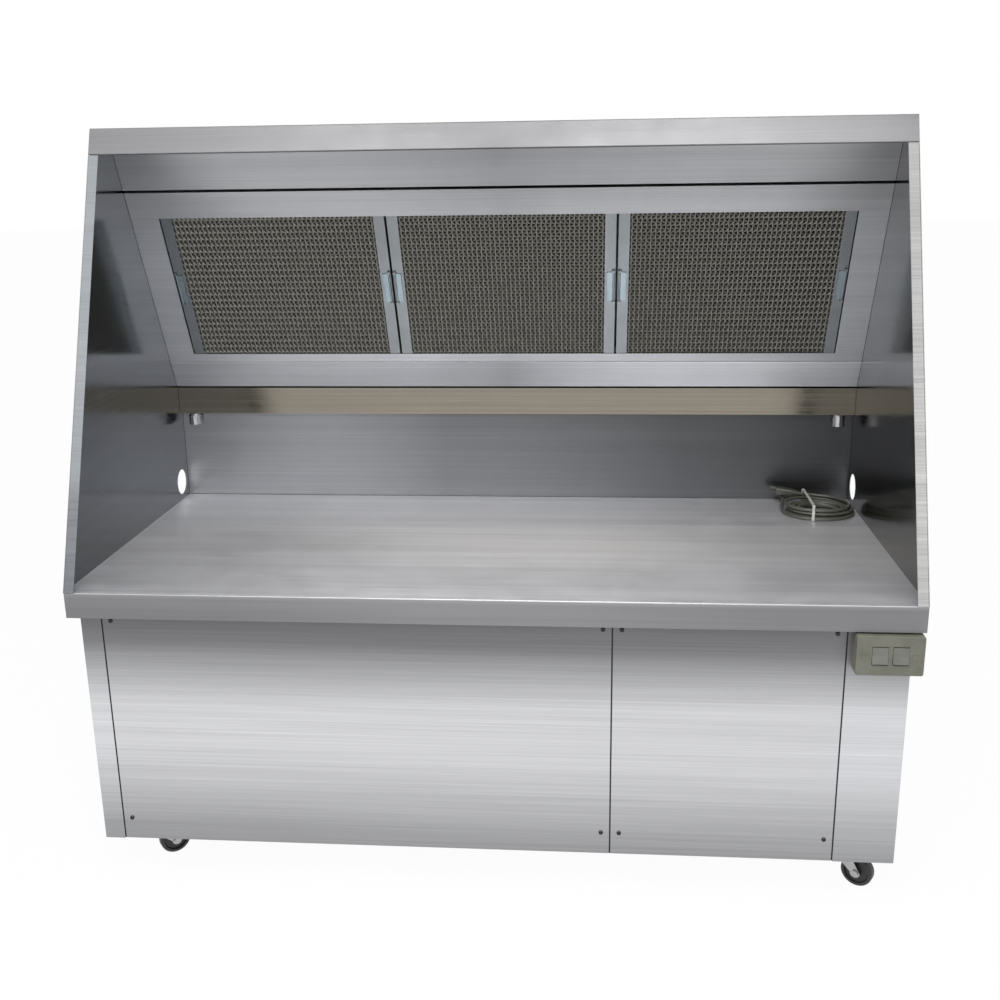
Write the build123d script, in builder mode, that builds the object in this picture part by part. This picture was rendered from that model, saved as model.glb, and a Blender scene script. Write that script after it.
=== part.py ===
from build123d import *
import os
from math import atan2, cos, degrees, radians, sin, tan

# Ductless exhaust hood on a mobile bench, in millimetres.
# X runs to the right, Y to the back and Z up. The origin is on the floor under the middle.
os.makedirs("parts", exist_ok=True)

# Overall
width = 1600
bench_depth = 711
duct_depth = 139
bench_height = 620
hood_height = 851

# Sheet metal
sheet = 1.5
bend = 2.5
fit_gap = 0.3

# Bench top
turn_down = 50
turn_down_return = 12
duct_opening_width = 1300
duct_opening_margin = 16

# Hood walls, roof and header
wall_lean = 341.4
wall_return = 20.5
header_height = 51
header_lip = 14
roof_rear_drop = 25
rear_flange = 25
cable_hole_radius = 30
cable_hole_height = 43
cable_hole_from_wall = 45

# Slanted bulkhead, measured up its slope from its lower corner
slope_angle = 64.7
slope_foot_height = 273.3
slope_foot_from_wall = 21.3
side_gap = 0.5
rail_height = 68.6
rail_drip = 8
rail_lip = 12
lower_seam = 2
upper_seam = 5
filter_panel_height = 428.2
opening_width = 1473
opening_bottom = 92
opening_height = 347.7
panel_flange = 20
roof_flange = 15
lift_room = 14
channel_grip = 18

# Grease filters
filter_count = 3
filter_width = 486
filter_height = 394.5
filter_depth = 48
filter_gap = 5
filter_flange = 23.4
filter_sheet = 1.0
ribbon_pitch = 22
ribbon_sheet = 0.7
ribbon_step = 15
ribbon_setback = 4

# Filter handles
handle_length = 70
handle_width = 16
handle_sheet = 1.4
handle_pin_radius = 2
handle_edge = 4
lug_length = 5
lug_width = 7
pin_clearance = 0.05

# Grease trough and drains
trough_gap_under_rail = 4
trough_setback = 3
trough_height = 62
drain_from_middle = 762
drain_radius = 15
drain_height = 26
drain_bore = 9

# Cabinet
cabinet_width = 1564
front_setback = 20
castor_height = 86
left_stile = 41
large_panel_width = 974
small_panel_width = 424
panel_gap = 3
panel_top_gap = 45
panel_bottom_gap = 1.5
stiffener_width = 40
stiffener_depth = 15
frame_land = 22
frame_depth = 26
screw_radius = 2.1
screw_head_radius = 4.2
screw_head_height = 2.2
screw_head_chamfer = 0.8
screw_length = 12
screw_inset = 16
screw_top = 62
screw_bottom = 487
pan_upturn = 30
support_width = 60
support_depth = 30
grille_slot = 120
grille_slot_height = 8
grille_pitch = 20
grille_rows = 12
grille_columns = 3
grille_centre = (420, 340)

# Filter rack and its two cassettes
rack_left = -330
rack_depth = 640
rack_height = 460
rack_rim = 25
fine_filter_thickness = 150
carbon_filter_thickness = 90
pleat_pitch = 32

# Blower
blower_x = 300
blower_width = 210
blower_inner_radius = 150
blower_growth = 60
blower_throat = 150
inlet_radius = 95
impeller_radius = 125
impeller_width = 160
blade_count = 20
blade_sheet = 2
blade_depth = 18
blade_angle = 35
shaft_radius = 8
motor_radius = 75
motor_length = 130
motor_foot = 150

# Switch box
box_width = 121
box_height = 76
box_depth = 30
box_from_middle = 675.5
box_drop = 54
box_wall = 2.5
cover_thickness = 3
rocker_width = 28
rocker_height = 35
rocker_pitch = 37
rocker_tip = 12
rocker_upper_relief = 1
rocker_lower_relief = 2.5
rocker_pin_radius = 1.5
rocker_clearance = 0.5

# Castors
wheel_radius = 31.5
wheel_width = 24
axle_radius = 4
axle_clearance = 0.05
castor_trail = 32
castor_inset = 97
castor_from_middle = 703
castor_plate_size = 62
castor_plate_thickness = 2.5
fork_sheet = 2.5
fork_gap = 1
raceway_radius = 21
kingpin_radius = 5
castor_angles = {
    "front_left": 38,
    "front_right": -32,
    "rear_left": 205,
    "rear_right": 150,
}

# Mains lead
lead_radius = 4
gland_x = 640
gland_height = 15
gland_nut_radius = 10
gland_nut_length = 12
relief_length = 26
coil_centre = (711, 594)
coil_half_width = 86
coil_half_depth = 74
coil_band_x = 50
coil_band_y = 48
coil_height = 36
tie_from_centre = 25
tie_width = 6
tie_sheet = 1.2
tie_corner = 3
plug_body = (34, 24, 19)
plug_place = (679, 660, 27)
plug_heading = (-60, 14, 5)
boot_length = 20
pin_blade = 16

# Worked out from the sizes above
depth = bench_depth + duct_depth
front_y = -depth / 2
rear_y = depth / 2
wall_y = front_y + bench_depth
bench_z = bench_height
bench_under = bench_z - sheet
roof_z = bench_z + hood_height
header_z = roof_z - header_height
wall_angle = degrees(atan2(wall_lean, hood_height))
half = width / 2
bulkhead_half = half - sheet - side_gap
cabinet_half = cabinet_width / 2
cabinet_front = front_y + front_setback
cabinet_rear = rear_y - sheet - fit_gap
cabinet_z = castor_height
slope = radians(slope_angle)
slope_up = Vector(0, -cos(slope), sin(slope))
slope_out = Vector(0, -sin(slope), -cos(slope))
slope_foot = Vector(0, wall_y - slope_foot_from_wall, bench_z + slope_foot_height)
slope_face = Plane(origin=slope_foot, x_dir=(1, 0, 0), z_dir=slope_out)


def write(part, label):
    """Labels a finished piece and writes its file."""
    part.label = label
    export_step(part, f"parts/{label}.step")


def sheet_section(points, thickness, side, radius=bend):
    """The section of a folded sheet: its outer line, and its thickness to one side."""
    with BuildSketch(Plane.XY) as section:
        with BuildLine():
            FilletPolyline(*points, radius=radius)
            offset(amount=thickness, side=side)
        make_face()
    return section.sketch


def slope_section(x):
    """The plane across the bulkhead at x: its X runs up the slope and its Y out of the face."""
    return Plane(origin=slope_foot + Vector(x, 0, 0), x_dir=slope_up, z_dir=(1, 0, 0))


# Bench top: a tray turned down on all sides, with returns at the front and the ends.
with BuildPart() as bench_top:
    with BuildSketch(Plane.XY.offset(bench_z)):
        Rectangle(width, depth)
    extrude(amount=-turn_down)
    fillet(bench_top.edges().filter_by(Axis.Z), bend)
    fillet(bench_top.faces().sort_by(Axis.Z)[-1].edges(), bend)
    offset(amount=-sheet, openings=bench_top.faces().sort_by(Axis.Z)[0])
    with BuildSketch(Plane.XY.offset(bench_z - turn_down)):
        Rectangle(width - 2 * sheet, depth - 2 * sheet)
        with Locations((0, turn_down_return)):
            Rectangle(width - 2 * (sheet + turn_down_return), depth, mode=Mode.SUBTRACT)
    extrude(amount=sheet)
    with BuildSketch(Plane.XY.offset(bench_z)):
        with Locations((0, wall_y + duct_depth / 2)):
            Rectangle(duct_opening_width, duct_depth - 2 * duct_opening_margin)
    extrude(amount=-sheet, mode=Mode.SUBTRACT)
write(bench_top.part, "bench_top")

# Hood walls: a leaning front edge with a narrow return, and a flange at the rear.
lean = radians(wall_angle)
wall_rear = rear_y - 2 * sheet
wall_top = roof_z - bend


def lean_y(z, setback=0):
    """Where the hood's leaning front stands at height z, or a sheet set back behind it."""
    return front_y + (z - bench_z) * tan(lean) + setback / cos(lean)


def hood_wall(side):
    """The left (-1) or right (1) wall, with its cable hole."""
    skin = Plane.YZ.offset(side * half)
    inward = -side
    hole_y = wall_y - cable_hole_from_wall
    with BuildPart() as wall:
        with BuildSketch(skin):
            Polygon(
                (lean_y(bench_z), bench_z),
                (wall_rear, bench_z),
                (wall_rear, wall_top),
                (lean_y(wall_top), wall_top),
                align=None,
            )
        extrude(amount=inward * rear_flange)
        with BuildSketch(skin.offset(inward * sheet)):
            Polygon(
                (lean_y(bench_z - 1, sheet), bench_z - 1),
                (wall_rear - sheet, bench_z - 1),
                (wall_rear - sheet, wall_top + 1),
                (lean_y(wall_top + 1, sheet), wall_top + 1),
                align=None,
            )
        extrude(amount=inward * rear_flange, mode=Mode.SUBTRACT)
        with BuildSketch(skin.offset(inward * wall_return)):
            Polygon(
                (lean_y(bench_z - 1, -1), bench_z - 1),
                (lean_y(bench_z - 1, sheet + 1), bench_z - 1),
                (lean_y(wall_top + 1, sheet + 1), wall_top + 1),
                (lean_y(wall_top + 1, -1), wall_top + 1),
                align=None,
            )
        extrude(amount=inward * rear_flange, mode=Mode.SUBTRACT)
        with BuildSketch(skin):
            Polygon(
                (lean_y(header_z, -1), header_z - fit_gap),
                (lean_y(header_z, sheet + fit_gap), header_z - fit_gap),
                (lean_y(wall_top + 1, sheet + fit_gap), wall_top + 1),
                (lean_y(wall_top + 1, -1), wall_top + 1),
                align=None,
            )
        extrude(amount=inward * rear_flange, mode=Mode.SUBTRACT)
        with BuildSketch(skin):
            with Locations((lean_y(header_z), header_z - fit_gap)):
                Rectangle(header_lip + bend, sheet + bend, align=(Align.MIN, Align.MIN))
        extrude(amount=inward * rear_flange, mode=Mode.SUBTRACT)
        with BuildSketch(skin):
            with Locations((hole_y, bench_z + cable_hole_height)):
                Circle(cable_hole_radius)
        extrude(amount=inward * sheet, mode=Mode.SUBTRACT)
    return wall.part


write(hood_wall(-1), "hood_left_wall")
write(hood_wall(1), "hood_right_wall")

# Roof and header: one sheet, folded at the header's lip, its top and the rear drop.
with BuildPart() as hood_roof:
    with BuildSketch(Plane.YZ.offset(-half)):
        add(
            sheet_section(
                [
                    (lean_y(header_z) + header_lip, header_z),
                    (lean_y(header_z), header_z),
                    (lean_y(roof_z), roof_z),
                    (rear_y, roof_z),
                    (rear_y, roof_z - roof_rear_drop),
                ],
                sheet,
                Side.RIGHT,
            )
        )
    extrude(amount=width)
write(hood_roof.part, "hood_roof")

# Back wall over the bench, with a foot and a top edge folded to the back.
back_wall_top = bench_z + slope_foot_height + header_lip
with BuildPart() as back_wall:
    with BuildSketch(Plane.YZ.offset(-bulkhead_half)):
        add(
            sheet_section(
                [
                    (wall_y + header_lip, bench_z),
                    (wall_y, bench_z),
                    (wall_y, back_wall_top),
                    (wall_y + header_lip, back_wall_top),
                ],
                sheet,
                Side.RIGHT,
            )
        )
    extrude(amount=2 * bulkhead_half)
    with BuildSketch(Plane.XZ.offset(-wall_y)):
        with Locations((gland_x, bench_z + gland_height)):
            Circle(lead_radius + 1)
    extrude(amount=-sheet, mode=Mode.SUBTRACT)
write(back_wall.part, "hood_back_wall")

# Rear duct cover: the outer skin of the duct that carries the air down to the cabinet.
with BuildPart() as rear_cover:
    with BuildSketch(Plane.XZ.offset(-(rear_y - 2 * sheet))):
        with Locations((0, bench_z)):
            Rectangle(width, hood_height - bend - fit_gap, align=(Align.CENTER, Align.MIN))
    extrude(amount=-sheet)
write(rear_cover.part, "rear_duct_cover")

# Upper bulkhead panel, from its seam to the roof.
panel_foot = rail_height + lower_seam
panel_head = panel_foot + filter_panel_height
upper_foot = panel_head + upper_seam
upper_head = (hood_height - sheet - fit_gap - slope_foot_height) / sin(slope)
back_run = Vector(-cos(slope), -sin(slope))
with BuildPart() as upper_panel:
    with BuildSketch(slope_section(-bulkhead_half)):
        add(
            sheet_section(
                [
                    (upper_foot, -panel_flange),
                    (upper_foot, 0),
                    (upper_head, 0),
                    tuple(Vector(upper_head, 0) + roof_flange * back_run)[:2],
                ],
                sheet,
                Side.RIGHT,
            )
        )
    extrude(amount=2 * bulkhead_half)
write(upper_panel.part, "upper_bulkhead_panel")

# Filter panel: a shallow pan with the long opening for the filters. The channel welded behind
# it holds the filters' top edges, with room above them to lift the filters out.
filter_back = sheet + fit_gap + filter_depth
filter_foot = rail_height + fit_gap
filter_head = filter_foot + filter_height
channel_head = filter_head + lift_room
with BuildPart() as filter_panel:
    with BuildSketch(slope_face):
        with Locations((0, panel_foot)):
            Rectangle(2 * bulkhead_half, filter_panel_height, align=(Align.CENTER, Align.MIN))
    extrude(amount=-panel_flange)
    fillet(filter_panel.faces().sort_by(Axis.Y)[0].edges(), bend / 2)
    with BuildSketch(slope_face.offset(-sheet)):
        with Locations((0, panel_foot - 1)):
            Rectangle(
                2 * (bulkhead_half - sheet),
                filter_panel_height + 1 - sheet,
                align=(Align.CENTER, Align.MIN),
            )
    extrude(amount=-panel_flange, mode=Mode.SUBTRACT)
    with BuildSketch(slope_face):
        with Locations((0, opening_bottom)):
            Rectangle(opening_width, opening_height, align=(Align.CENTER, Align.MIN))
    extrude(amount=-sheet, mode=Mode.SUBTRACT)
    with BuildSketch(slope_section(-bulkhead_half + sheet + fit_gap)):
        add(
            sheet_section(
                [
                    (channel_head + channel_grip, -sheet),
                    (channel_head, -sheet),
                    (channel_head, -filter_back - fit_gap),
                    (filter_head - channel_grip, -filter_back - fit_gap),
                ],
                sheet,
                Side.LEFT,
            )
        )
    extrude(amount=2 * (bulkhead_half - sheet - fit_gap))
write(filter_panel.part, "filter_panel")

# Lower rail: its foot drips into the trough, and its top is the shelf that the filters stand on.
with BuildPart() as lower_rail:
    with BuildSketch(slope_section(-bulkhead_half)):
        add(
            sheet_section(
                [
                    tuple(rail_drip * back_run)[:2],
                    (0, 0),
                    (rail_height, 0),
                    (rail_height, -filter_back - bend),
                    (rail_height + rail_lip, -filter_back - bend),
                ],
                sheet,
                Side.RIGHT,
            )
        )
    extrude(amount=2 * bulkhead_half)
write(lower_rail.part, "lower_rail")

# Grease filters: a channel frame, a honeycomb of corrugated ribbons and two flap handles.
filter_pitch = filter_width + filter_gap
filter_names = ["left", "centre", "right"]
frame_face = -sheet - fit_gap
handle_middle = filter_foot + filter_height / 2
pin_rise = frame_face + handle_pin_radius + fit_gap
pin_length = handle_length + 2 * lug_length - 1
lug_from_middle = handle_length / 2 + fit_gap + lug_length / 2
pin_from_centre = filter_width / 2 - handle_edge


def filter_frame(x):
    """A frame of channel section, with two pairs of handle lugs riveted to its face."""
    plane = slope_face.offset(frame_face)
    middle = (x, filter_foot + filter_height / 2)
    with BuildPart() as frame:
        with BuildSketch(plane):
            with Locations(middle):
                Rectangle(filter_width, filter_height)
        extrude(amount=-filter_depth)
        with BuildSketch(plane.offset(-filter_sheet)):
            with Locations(middle):
                Rectangle(filter_width - 2 * filter_sheet, filter_height - 2 * filter_sheet)
        extrude(amount=-(filter_depth - 2 * filter_sheet), mode=Mode.SUBTRACT)
        with BuildSketch(plane):
            with Locations(middle):
                Rectangle(filter_width - 2 * filter_flange, filter_height - 2 * filter_flange)
        extrude(amount=-filter_depth, mode=Mode.SUBTRACT)
        for end in (-1, 1):
            across = slope_section(x - pin_from_centre - lug_width / 2)
            lug_middle = handle_middle + end * lug_from_middle
            lug_top = pin_rise + handle_pin_radius + 1
            for run in (0, 2 * pin_from_centre):
                with BuildSketch(across.offset(run)):
                    with Locations((lug_middle, frame_face)):
                        Rectangle(lug_length, lug_top - frame_face, align=(Align.CENTER, Align.MIN))
                extrude(amount=lug_width)
        for pin_x in (x - pin_from_centre, x + pin_from_centre):
            with BuildSketch(pin_plane(pin_x)):
                Circle(handle_pin_radius + pin_clearance)
            extrude(amount=pin_length / 2 + 1, both=True, mode=Mode.SUBTRACT)
    return frame.part


def pin_plane(pin_x):
    """The plane across a handle's pin, at the middle of its length."""
    place = slope_foot + slope_up * handle_middle + slope_out * pin_rise + Vector(pin_x, 0, 0)
    return Plane(origin=place, x_dir=(1, 0, 0), z_dir=slope_up)


def filter_handle(pin_x, inward):
    """A flap with a rolled hinge edge on its pin, and a folded finger edge."""
    plane = pin_plane(pin_x)
    with BuildPart() as handle:
        with BuildSketch(plane):
            Circle(handle_pin_radius)
        extrude(amount=pin_length / 2, both=True)
        with BuildSketch(plane):
            with BuildLine():
                flap_end = inward * (handle_width - handle_pin_radius)
                Polyline(
                    (0, handle_pin_radius - handle_sheet),
                    (0, handle_pin_radius),
                    (flap_end, handle_pin_radius),
                    (flap_end, -handle_pin_radius + 0.5),
                    (flap_end - inward * handle_sheet, -handle_pin_radius + 0.5),
                    (flap_end - inward * handle_sheet, handle_pin_radius - handle_sheet),
                    close=True,
                )
            make_face()
        extrude(amount=handle_length / 2, both=True)
    return handle.part


def corrugated_ribbon(turn):
    """One ribbon at the middle of a filter, whose first fold turns right (1) or left (-1)."""
    room = filter_height - 2 * (filter_sheet + ribbon_sheet)
    steps = round(room / ribbon_step)
    reach = turn * (ribbon_pitch / 2 - ribbon_sheet)
    foot = filter_foot + filter_sheet + ribbon_sheet
    folds = [(reach / 2 * (-1) ** i, foot + i * room / steps) for i in range(steps + 1)]
    with BuildPart() as ribbon:
        with BuildSketch(slope_face.offset(frame_face - filter_sheet - fit_gap)):
            with BuildLine():
                Polyline(*folds)
                offset(amount=ribbon_sheet, side=Side.LEFT, kind=Kind.INTERSECTION)
            make_face()
        extrude(amount=-(filter_depth - 2 * filter_sheet - ribbon_setback))
    return ribbon.part


ribbon_count = int((filter_width - 2 * (filter_sheet + ribbon_sheet)) // ribbon_pitch)
ribbon_places = [(i - (ribbon_count - 1) / 2) * ribbon_pitch for i in range(ribbon_count)]
with BuildPart() as honeycomb:
    with Locations(*[(place, 0, 0) for place in ribbon_places[0::2]]):
        add(corrugated_ribbon(1))
    with Locations(*[(place, 0, 0) for place in ribbon_places[1::2]]):
        add(corrugated_ribbon(-1))


for index, name in enumerate(filter_names):
    filter_x = (index - (filter_count - 1) / 2) * filter_pitch
    write(filter_frame(filter_x), f"filter_{name}_frame")
    write(Pos(filter_x, 0, 0) * honeycomb.part, f"filter_{name}_honeycomb")
    write(filter_handle(filter_x - pin_from_centre, 1), f"filter_{name}_left_handle")
    write(filter_handle(filter_x + pin_from_centre, -1), f"filter_{name}_right_handle")

# Grease trough: an open channel along the back wall, with a small lip at its front foot.
trough_top = bench_z + slope_foot_height - trough_gap_under_rail
trough_z = trough_top - trough_height
trough_front = wall_y - slope_foot_from_wall + trough_setback
trough_depth = wall_y - trough_front
with BuildPart() as trough:
    with BuildSketch(Plane.XY.offset(trough_z)):
        with Locations((0, wall_y - trough_depth / 2)):
            Rectangle(2 * bulkhead_half, trough_depth)
    extrude(amount=trough_height)
    offset(amount=-sheet, openings=trough.faces().sort_by(Axis.Z)[-1])
    with BuildSketch(Plane.XY.offset(trough_z)):
        with Locations(*[(side * drain_from_middle, wall_y - trough_depth / 2) for side in (-1, 1)]):
            Circle(drain_bore / 2)
    extrude(amount=sheet, mode=Mode.SUBTRACT)
write(trough.part, "grease_trough")

# Drain plugs: a flange against the trough, a knurled skirt and a stub up through the outlet.
plug_flange = 4
with BuildPart() as drain_plugs:
    for side in (-1, 1):
        place = (side * drain_from_middle, wall_y - drain_radius - fit_gap)
        with BuildSketch(Plane.XY.offset(trough_z)):
            with Locations(place):
                Circle(drain_radius - 2)
        extrude(amount=-plug_flange)
        with BuildSketch(Plane.XY.offset(trough_z - plug_flange)):
            with Locations(place):
                RegularPolygon(drain_radius, 12, major_radius=True)
        extrude(amount=-(drain_height - plug_flange))
write(drain_plugs.part, "drain_plugs")

# Cabinet sides: each is folded with its front stile and a rear flange.
stile_right = cabinet_width - left_stile - large_panel_width - small_panel_width - 3 * panel_gap


def cabinet_side(side, stile):
    """The left (-1) or right (1) side, with a stile of the given width."""
    outer = side * cabinet_half
    with BuildPart() as panel:
        with BuildSketch(Plane.XY.offset(cabinet_z)):
            add(
                sheet_section(
                    [
                        (outer - side * stile, cabinet_front),
                        (outer, cabinet_front),
                        (outer, cabinet_rear - sheet),
                        (outer - side * rear_flange, cabinet_rear - sheet),
                    ],
                    sheet,
                    Side.LEFT if side > 0 else Side.RIGHT,
                )
            )
        extrude(amount=bench_under - cabinet_z)
    return panel.part


write(cabinet_side(-1, left_stile), "cabinet_left_side")
write(cabinet_side(1, stile_right), "cabinet_right_side")

# Cabinet back: a flat sheet over the rear flanges, with the exhaust grille.
with BuildPart() as cabinet_back:
    with BuildSketch(Plane.XZ.offset(-(cabinet_rear - sheet))):
        with Locations((0, cabinet_z)):
            Rectangle(cabinet_width, bench_z - bend - cabinet_z, align=(Align.CENTER, Align.MIN))
        with Locations(grille_centre):
            with GridLocations(grille_slot + grille_pitch, grille_pitch, grille_columns, grille_rows):
                SlotOverall(grille_slot, grille_slot_height, mode=Mode.SUBTRACT)
    extrude(amount=-sheet)
write(cabinet_back.part, "cabinet_back")

# Access panels: flat sheets with two hat stiffeners welded behind, and a hole at each corner.
panel_top = bench_z - panel_top_gap
panel_z = cabinet_z + panel_bottom_gap
panel_rows = (bench_z - screw_top, bench_z - screw_bottom)
large_left = -cabinet_half + left_stile + panel_gap
small_left = large_left + large_panel_width + panel_gap
panels = {
    "large": (large_left, large_panel_width),
    "small": (small_left, small_panel_width),
}
screw_columns = [
    x
    for left, panel_width in panels.values()
    for x in (left + screw_inset, left + panel_width - screw_inset)
]


def access_panel(left, panel_width):
    """A panel from its left edge, flush with the stiles."""
    with BuildPart() as panel:
        with BuildSketch(Plane.XZ.offset(-cabinet_front)):
            with Locations((left, panel_z)):
                Rectangle(panel_width, panel_top - panel_z, align=(Align.MIN, Align.MIN))
        extrude(amount=-sheet)
        fillet(panel.edges().filter_by(Axis.Y), bend)
        with BuildSketch(Plane.XZ.offset(-cabinet_front - sheet)):
            for share in (1 / 3, 2 / 3):
                with Locations((left + share * panel_width, (panel_z + panel_top) / 2)):
                    Rectangle(stiffener_width, panel_top - panel_z - 4 * frame_land)
        extrude(amount=-stiffener_depth)
        with BuildSketch(Plane.XZ.offset(-cabinet_front)):
            for x in (left + screw_inset, left + panel_width - screw_inset):
                with Locations(*[(x, z) for z in panel_rows]):
                    Circle(screw_radius + fit_gap)
        extrude(amount=-sheet, mode=Mode.SUBTRACT)
    return panel.part


for name, (left, panel_width) in panels.items():
    write(access_panel(left, panel_width), f"{name}_access_panel")

# Front frame: a welded sheet frame behind the panels, with returns round its two openings.
frame_y = cabinet_front + sheet
frame_z = cabinet_z + sheet
frame_top = bench_under
frame_half = cabinet_half - sheet - bend - fit_gap
with BuildPart() as front_frame:
    with BuildSketch(Plane.XZ.offset(-frame_y)):
        with Locations((0, frame_z)):
            Rectangle(2 * frame_half, frame_top - frame_z, align=(Align.CENTER, Align.MIN))
    extrude(amount=-frame_depth)
    with BuildSketch(Plane.XZ.offset(-frame_y - sheet)):
        with Locations((0, frame_z + sheet)):
            Rectangle(
                2 * (frame_half - sheet),
                frame_top - frame_z - 2 * sheet,
                align=(Align.CENTER, Align.MIN),
            )
        for left, panel_width in panels.values():
            with Locations((left + frame_land - sheet, panel_z + 2 * frame_land - sheet)):
                Rectangle(
                    panel_width - 2 * (frame_land - sheet),
                    panel_top - panel_z - 4 * frame_land + 2 * sheet,
                    align=(Align.MIN, Align.MIN),
                    mode=Mode.SUBTRACT,
                )
    extrude(amount=-frame_depth, mode=Mode.SUBTRACT)
    with BuildSketch(Plane.XZ.offset(-frame_y)):
        for left, panel_width in panels.values():
            with Locations((left + frame_land, panel_z + 2 * frame_land)):
                Rectangle(
                    panel_width - 2 * frame_land,
                    panel_top - panel_z - 4 * frame_land,
                    align=(Align.MIN, Align.MIN),
                )
        with Locations(*[(x, z) for x in screw_columns for z in panel_rows]):
            Circle(screw_radius + fit_gap)
    extrude(amount=-frame_depth, mode=Mode.SUBTRACT)
write(front_frame.part, "front_frame")

# Panel screws: domed heads with a cross recess, and plain shanks through the frame.
with BuildPart() as panel_screws:
    with Locations(*[(x, cabinet_front, z) for x in screw_columns for z in panel_rows]):
        Cylinder(
            screw_head_radius,
            screw_head_height,
            rotation=(90, 0, 0),
            align=(Align.CENTER, Align.CENTER, Align.MIN),
        )
    heads = len(screw_columns) * len(panel_rows)
    chamfer(panel_screws.faces().sort_by(Axis.Y)[0:heads].edges(), screw_head_chamfer)
    with Locations(*[(x, cabinet_front, z) for x in screw_columns for z in panel_rows]):
        Cylinder(
            screw_radius,
            screw_length,
            rotation=(90, 0, 0),
            align=(Align.CENTER, Align.CENTER, Align.MAX),
        )
write(panel_screws.part, "panel_screws")

# Base pan: the cabinet's floor, turned up at its ends.
pan_half = cabinet_half - sheet - fit_gap
pan_y = cabinet_front + bend + fit_gap
with BuildPart() as base_pan:
    with BuildSketch(Plane.XZ.offset(-pan_y)):
        add(
            sheet_section(
                [
                    (-pan_half, cabinet_z + pan_upturn),
                    (-pan_half, cabinet_z),
                    (pan_half, cabinet_z),
                    (pan_half, cabinet_z + pan_upturn),
                ],
                sheet,
                Side.LEFT,
            )
        )
    extrude(amount=-(cabinet_rear - sheet - bend - pan_y))
write(base_pan.part, "base_pan")

# Bench supports: two channels under the bench top, from side to side.
with BuildPart() as supports:
    for place in (1 / 3, 2 / 3):
        support_y = front_y + place * bench_depth
        with BuildSketch(Plane.YZ.offset(-frame_half)):
            add(
                sheet_section(
                    [
                        (support_y - support_width / 2, bench_under - support_depth),
                        (support_y - support_width / 2, bench_under),
                        (support_y + support_width / 2, bench_under),
                        (support_y + support_width / 2, bench_under - support_depth),
                    ],
                    sheet,
                    Side.RIGHT,
                )
            )
        extrude(amount=2 * frame_half)
write(supports.part, "bench_supports")

# Filter rack: a welded box on the pan, open to the front, with rims that hold two cassettes.
rack_z = cabinet_z + sheet
rack_y = frame_y + frame_depth + fit_gap
rack_length = fine_filter_thickness + carbon_filter_thickness + 2 * fit_gap + 3 * sheet
slot_starts = (
    rack_left + sheet,
    rack_left + 2 * sheet + fit_gap + fine_filter_thickness,
)
with BuildPart() as filter_rack:
    with BuildSketch(Plane.YZ.offset(rack_left)):
        with Locations((rack_y, rack_z)):
            Rectangle(rack_depth, rack_height, align=(Align.MIN, Align.MIN))
    extrude(amount=rack_length)
    for start, thickness in zip(slot_starts, (fine_filter_thickness, carbon_filter_thickness)):
        with BuildSketch(Plane.YZ.offset(start)):
            with Locations((rack_y, rack_z + sheet)):
                Rectangle(rack_depth - sheet, rack_height - 2 * sheet, align=(Align.MIN, Align.MIN))
        extrude(amount=thickness + fit_gap, mode=Mode.SUBTRACT)
    with BuildSketch(Plane.YZ.offset(rack_left)):
        with Locations((rack_y + rack_rim, rack_z + rack_rim)):
            Rectangle(rack_depth - 2 * rack_rim, rack_height - 2 * rack_rim, align=(Align.MIN, Align.MIN))
    extrude(amount=rack_length, mode=Mode.SUBTRACT)
write(filter_rack.part, "filter_rack")


def cassette(start, thickness, pleats):
    """A filter cassette: a rim round a pleated or a plain pack, set back on both faces."""
    long = rack_depth - sheet - 2 * fit_gap
    high = rack_height - 2 * sheet - 2 * fit_gap
    foot = (rack_y + fit_gap, rack_z + sheet + fit_gap)
    recess = thickness / 8
    with BuildPart() as body:
        with BuildSketch(Plane.YZ.offset(start + fit_gap / 2)):
            with Locations(foot):
                Rectangle(long, high, align=(Align.MIN, Align.MIN))
        extrude(amount=thickness)
        for face, inward in ((start + fit_gap / 2, 1), (start + fit_gap / 2 + thickness, -1)):
            with BuildSketch(Plane.YZ.offset(face)):
                with Locations((foot[0] + rack_rim, foot[1] + rack_rim)):
                    Rectangle(long - 2 * rack_rim, high - 2 * rack_rim, align=(Align.MIN, Align.MIN))
            extrude(amount=inward * recess, mode=Mode.SUBTRACT)
            if pleats:
                count = int((long - 2 * rack_rim) // pleat_pitch)
                with BuildSketch(Plane.YZ.offset(face + inward * recess)):
                    with Locations((foot[0] + long / 2, foot[1] + high / 2)):
                        with GridLocations(pleat_pitch, 0, count, 1):
                            Rectangle(pleat_pitch / 2, high - 2 * rack_rim)
                extrude(amount=inward * thickness / 4, mode=Mode.SUBTRACT)
    return body.part


write(cassette(slot_starts[0], fine_filter_thickness, True), "fine_filter")
write(cassette(slot_starts[1], carbon_filter_thickness, False), "carbon_filter")

# Blower: a scroll housing that blows through the grille, an impeller on its shaft, a motor.
blower_y = cabinet_rear - 2 * sheet - blower_inner_radius - 2 * blower_growth
blower_z = cabinet_z + sheet + blower_inner_radius + blower_growth + 2 * sheet
blower_right = blower_x + blower_width
outlet_y = cabinet_rear - sheet - fit_gap


def scroll_outline(wall):
    """The housing's spiral with its outlet to the rear, as a sketch seen from the right."""
    spiral = []
    for turn in range(0, 271, 15):
        reach = blower_inner_radius + blower_growth * turn / 270 - wall
        spiral.append((blower_y + reach * cos(radians(turn)), blower_z - reach * sin(radians(turn))))
    top = spiral[-1][1]
    bottom = top - blower_throat + 2 * wall
    outlet_end = outlet_y + wall
    with BuildSketch(Plane.XY) as outline:
        with BuildLine():
            curve = Spline(*spiral)
            Polyline(
                curve @ 1,
                (outlet_end, top),
                (outlet_end, bottom),
                (blower_y + blower_inner_radius * 0.8, bottom),
                curve @ 0,
            )
        make_face()
    return outline.sketch


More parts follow.
